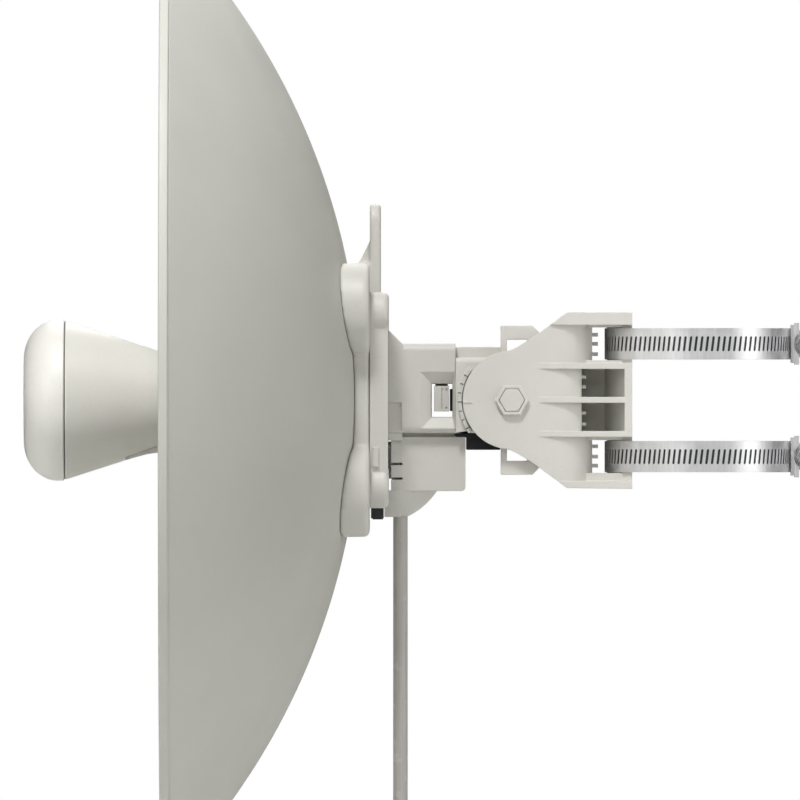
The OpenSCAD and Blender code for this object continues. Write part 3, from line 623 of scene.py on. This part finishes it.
CONE_R, TUBE_R, CONE_WALL, CONE_SLOPE, CONE_FILLET = 36.7, 19.8, 2, 0.324, 9
CONE_FRONT_X, TUBE_BACK_X = -296.1, -156.4
CONE_BACK_X = CONE_FRONT_X + (CONE_R - TUBE_R) / CONE_SLOPE
bm = bmesh.new()
cone = rounded(
    [(CONE_R - CONE_WALL, CONE_FRONT_X), (CONE_R, CONE_FRONT_X), (TUBE_R, CONE_BACK_X), (TUBE_R, TUBE_BACK_X),
     (TUBE_R - CONE_WALL, TUBE_BACK_X), (TUBE_R - CONE_WALL, CONE_BACK_X)],
    [0, 0.4, CONE_FILLET, 0, 0, CONE_FILLET],
)
lathe(bm, scaled((p[0], p[1]) for p in cone))
piece("feed_cone_shell", bm, "feed_cone", angle=30)


# ---------- Clamp bands: a strip with leaning slots that follows the pole and the bracket's saddle ----------

POLE_R = 38.1
SADDLE_X, SADDLE_R = -17.5, 29.0
BAND_T, BAND_H, BAND_Z = 0.8, 14.4, 26.0
SLOT_PITCH, SLOT_W, SLOT_L, SLOT_DEPTH = 2.55, 1.1, 7.0, 0.5
SLOT_LEAN = math.radians(7)


def band_path():
    """The strip's inner line from the far side of the pole, as stretches.
    Each is (length, at), and at(0 to 1) gives (centre, radius, angle): a point, and which way is out."""
    lean = math.pi - math.acos((SADDLE_R - POLE_R) / SADDLE_X)
    saddle = (SADDLE_X, 0)

    def arc(cx, cy, r, a0, a1):
        return (r * abs(a1 - a0), lambda t: (Vector((cx, cy)), r, a0 + (a1 - a0) * t))

    def line(a, c0, r0, c1, r1):
        normal = Vector((math.cos(a), math.sin(a)))
        p, q = Vector(c0) + normal * r0, Vector(c1) + normal * r1
        return ((q - p).length, lambda t: (p.lerp(q, t) - normal, 1.0, a))

    return [
        arc(0, 0, POLE_R, 0, lean),
        line(lean, (0, 0), POLE_R, saddle, SADDLE_R),
        arc(SADDLE_X, 0, SADDLE_R, lean, 2 * math.pi - lean),
        line(2 * math.pi - lean, saddle, SADDLE_R, (0, 0), POLE_R),
        arc(0, 0, POLE_R, 2 * math.pi - lean, 2 * math.pi),
    ]


def on_band(stretches, s, out):
    """The point at length s along the strip, out millimetres from its inner face."""
    total = sum(st[0] for st in stretches)
    s %= total
    for length, at in stretches:
        if s <= length:
            centre, r, a = at(s / length)
            return centre + Vector((math.cos(a), math.sin(a))) * (r + out)
        s -= length
    centre, r, a = stretches[-1][1](1)
    return centre + Vector((math.cos(a), math.sin(a))) * (r + out)


def slot_loop():
    """Outline of a slot in its cell, before the lean: straight sides with round ends."""
    r, half = SLOT_W / 2, SLOT_L / 2 - SLOT_W / 2
    mid = SLOT_PITCH / 2
    top = [(mid + r * math.cos(a), half + r * math.sin(a)) for a in (math.pi * k / 4 for k in range(5))]
    low = [(mid - r * math.cos(a), -half - r * math.sin(a)) for a in (math.pi * k / 4 for k in range(5))]
    return top + low


def slotted_band(name, node, z_mid):
    """The strip, made of equal cells. Each has a pressed slot whose floor is marked for painted shade."""
    stretches = band_path()
    total = sum(st[0] for st in stretches)
    cells = round(total / SLOT_PITCH)
    pitch = total / cells
    hole = [(u * pitch / SLOT_PITCH, v) for u, v in slot_loop()][::-1]
    half, step = BAND_H / 2, SLOT_L / 2 + 0.4
    levels = (-half, -step, 0, step, half)
    edge = [(pitch, v) for v in levels] + [(0, v) for v in levels[::-1]]
    rows = len(levels)
    bm = bmesh.new()
    # A mark for painted shade: 1 on the slot floors, 0 elsewhere
    slot_shade = bm.verts.layers.float.new("slot_shade")

    def vert(s, v, out, shade_weight=0.0):
        p = on_band(stretches, s + v * math.tan(SLOT_LEAN), out)
        made = bm.verts.new((p.x * MM, p.y * MM, (z_mid + v) * MM))
        made[slot_shade] = shade_weight
        return made

    n = len(hole)
    tris = tessellate_polygon([[Vector((*p, 0)) for p in loop] for loop in (edge, hole)])
    for i in range(cells):
        s0 = i * pitch
        face = [vert(s0 + u, v, BAND_T) for u, v in edge + hole]
        back = [vert(s0 + u, v, 0) for u, v in edge]
        # Slot floors carry the painted-shade mark
        floor = [vert(s0 + u, v, BAND_T - SLOT_DEPTH, 1.0) for u, v in hole]
        for t in tris:
            bm.faces.new([face[k] for k in t])
        for k in range(rows - 1):
            bm.faces.new((back[k], back[k + 1], back[2 * rows - 2 - k], back[2 * rows - 1 - k]))
        for k in (rows - 1, 2 * rows - 1):
            j = (k + 1) % (2 * rows)
            bm.faces.new((back[k], back[j], face[j], face[k]))
        for k in range(n):
            j = (k + 1) % n
            bm.faces.new((face[2 * rows + k], face[2 * rows + j], floor[j], floor[k]))
        bm.faces.new(floor)
    bmesh.ops.remove_doubles(bm, verts=bm.verts, dist=1e-6)
    bmesh.ops.recalc_face_normals(bm, faces=bm.faces)
    piece(name, bm, node, angle=30)


slotted_band("upper_band_strip", "upper_band", BAND_Z)
slotted_band("lower_band_strip", "lower_band", -BAND_Z)


# ---------- Latch spring: wound wire in two halves ----------------------------------------------------

SPRING_X, SPRING_Z, SPRING_HALF_L, SPRING_WIRE_R = -122.5, 1.0, 9.9, 0.38


def spring_points(end, turns=4.5, radius=2.2, per_turn=20):
    """The wire's middle line from y = 0 to y = end."""
    for i in range(int(turns * per_turn) + 1):
        t = i / (turns * per_turn)
        a = math.copysign(2 * math.pi * turns * t, end)
        yield ((SPRING_X + radius * math.cos(a)) * MM, end * t * MM, (SPRING_Z + radius * math.sin(a)) * MM)


for side, end in (("left", -SPRING_HALF_L), ("right", SPRING_HALF_L)):
    bm = bmesh.new()
    swept(bm, spring_points(end), SPRING_WIRE_R * MM, sides=10)
    wire = piece("latch_spring_" + side, bm, "latch_spring", angle=60, body="")
    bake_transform(wire)


# ---------- Parts that keep their CAD shape, with moulded or rolled edges ----------

TONGUE_HALF_W, TONGUE_TOP_Z = 22.6, 19.5
POINTER_BACK_X, POINTER_Z = -108.0, -0.95


def tongue_radius(mid, way):
    """Large on the two long upper edges."""
    _, y, z = mid / MM
    on_top = abs(z - TONGUE_TOP_Z) < 0.1 and abs(abs(y) - TONGUE_HALF_W) < 0.1
    return (2.0 if on_top and abs(way.x) > 0.9 else 0.25) * MM


def bracket_radius(mid, way):
    """The tilt pointer's thin rib stays sharp."""
    x, _, z = mid / MM
    return 0 if x < POINTER_BACK_X and abs(z - POINTER_Z) < 0.4 else 0.3 * MM


moulded("dish_hub", 0.85 * MM, 10)
softened("tilt_tongue", 0.25 * MM, segments=4, angle=25, material=bracket_plastic, radius_at=tongue_radius)
softened("neck_housing", 0.4 * MM, angle=20)
softened("pole_bracket", 0.3 * MM, radius_at=bracket_radius)
# tongue_pad, gland_seal and latch_bumper are black parts in gaps where shadow falls: partly painted shade
for node, width in (
    ("rear_shell", 0.5), ("port_cover", 0.45), ("left_latch", 0.2), ("right_latch", 0.2),
    ("tongue_pad", 0.5), ("vent_block", 0.3), ("feed_duct", 0.4), ("feed_collar", 0.4),
    ("upper_clamp_screw", 0.25), ("lower_clamp_screw", 0.25), ("tilt_nut", 0.12), ("tilt_washer", 0.2),
    ("jack_plug", 0.2), ("dish_screws", 0.2), ("lug_screws", 0.2),
    ("ground_lug", 0.15), ("gland_seal", 0.3), ("latch_bumper", 0.2),
):
    softened(node, width * MM)
softened("tilt_bolt", 0.25 * MM, material=bolt_coating)


# ---------- Tilt scale: a mark every ten degrees on the raised ring, on both sides, low bars in black as painted shadow of the ticks ---

BOLT_X, SCALE_Y, SCALE_R = -90.1, 24.85, 24.1
bm = bmesh.new()
for side in (-1, 1):
    for k in range(-3, 4):
        a = math.pi + math.radians(10 * k + 2)
        out = Vector((math.cos(a), 0, math.sin(a)))
        shorter = 0.45 if k % 3 else 0
        centre = Vector((BOLT_X, side * SCALE_Y, 0)) + out * (SCALE_R + shorter / 2)
        bar(bm, centre * MM, out, Vector((-out.z, 0, out.x)), Vector((0, 1, 0)),
            [v * MM for v in (1.9 - shorter, 0.38, 0.16)])
bmesh.ops.recalc_face_normals(bm, faces=bm.faces)
# Painted shadow: the marks are barely raised and coloured black to stand for the shadows the ticks cast
piece("scale_mark_shadows", bm, slot="black_plastic", body="antenna")


# ---------- CAD nodes that are shown as they are ----------

for name, obj in NODES.items():
    if not obj.hide_render:
        obj.data.materials.clear()
        obj.data.materials.append(MATERIAL_OF_SLOT[SLOT_OF_NODE[name]])


# ---------- Studio ----------

def area_light(name, place, target, size, power):
    data = bpy.data.lights.new(name, "AREA")
    data.shape = "DISK"
    data.size = size
    data.energy = power
    lamp = bpy.data.objects.new(name, data)
    lamp.location = place
    lamp.rotation_euler = (Vector(target) - Vector(place)).to_track_quat("-Z", "Y").to_euler()
    bpy.context.scene.collection.objects.link(lamp)


MIDDLE = (-0.14, 0, 0)
area_light("key_light", (-0.35, -0.7, 1.2), MIDDLE, 0.3, 15)
area_light("front_light", (0.2, -1.9, 0.9), MIDDLE, 1.2, 6)
area_light("left_light", (-2.2, -2.0, 1.1), MIDDLE, 1.0, 25)
area_light("right_light", (2.3, -1.25, 0.35), MIDDLE, 1.6, 19)
area_light("back_light", (0.1, 2.1, 1.7), MIDDLE, 2.0, 38)

# Sky: brighter from above, and plain white to the camera
world = bpy.data.worlds.new("studio")
bpy.context.scene.world = world
world.use_nodes = True
tree = world.node_tree
sky = tree.nodes["Background"]
seen = tree.nodes.new("ShaderNodeBackground")
seen.inputs["Color"].default_value = (1, 1, 1, 1)
pick = tree.nodes.new("ShaderNodeMixShader")
ray = tree.nodes.new("ShaderNodeLightPath")
where = tree.nodes.new("ShaderNodeTexCoord")
split = tree.nodes.new("ShaderNodeSeparateXYZ")
height = tree.nodes.new("ShaderNodeMapRange")
for key, value in (("From Min", -1.0), ("From Max", 1.0), ("To Min", 0.14), ("To Max", 0.75)):
    height.inputs[key].default_value = value
tree.links.new(where.outputs["Generated"], split.inputs[0])
tree.links.new(split.outputs["Z"], height.inputs["Value"])
tree.links.new(height.outputs["Result"], sky.inputs["Strength"])
tree.links.new(ray.outputs["Is Camera Ray"], pick.inputs["Fac"])
tree.links.new(sky.outputs[0], pick.inputs[1])
tree.links.new(seen.outputs[0], pick.inputs[2])
tree.links.new(pick.outputs[0], tree.nodes["World Output"].inputs["Surface"])

# Floor: low enough to be clear of the cable at every tilt
FLOOR_Z = cad_box[0][2] - 0.07
FLOOR_R = 2.6
bm = bmesh.new()
bmesh.ops.create_circle(bm, cap_ends=True, segments=96, radius=FLOOR_R)
floor_mesh = bpy.data.meshes.new("floor")
bm.to_mesh(floor_mesh)
bm.free()
floor = bpy.data.objects.new("floor", floor_mesh)
floor.location = (MIDDLE[0], 0, FLOOR_Z)
floor_paint = Shader("floor_paint", (236, 236, 234), 0.7)
floor_paint.rough(floor_paint.ramp(floor_paint.noise(12, 4), 0.6, 0.8))
floor_mesh.materials.append(floor_paint.material)
bpy.context.scene.collection.objects.link(floor)
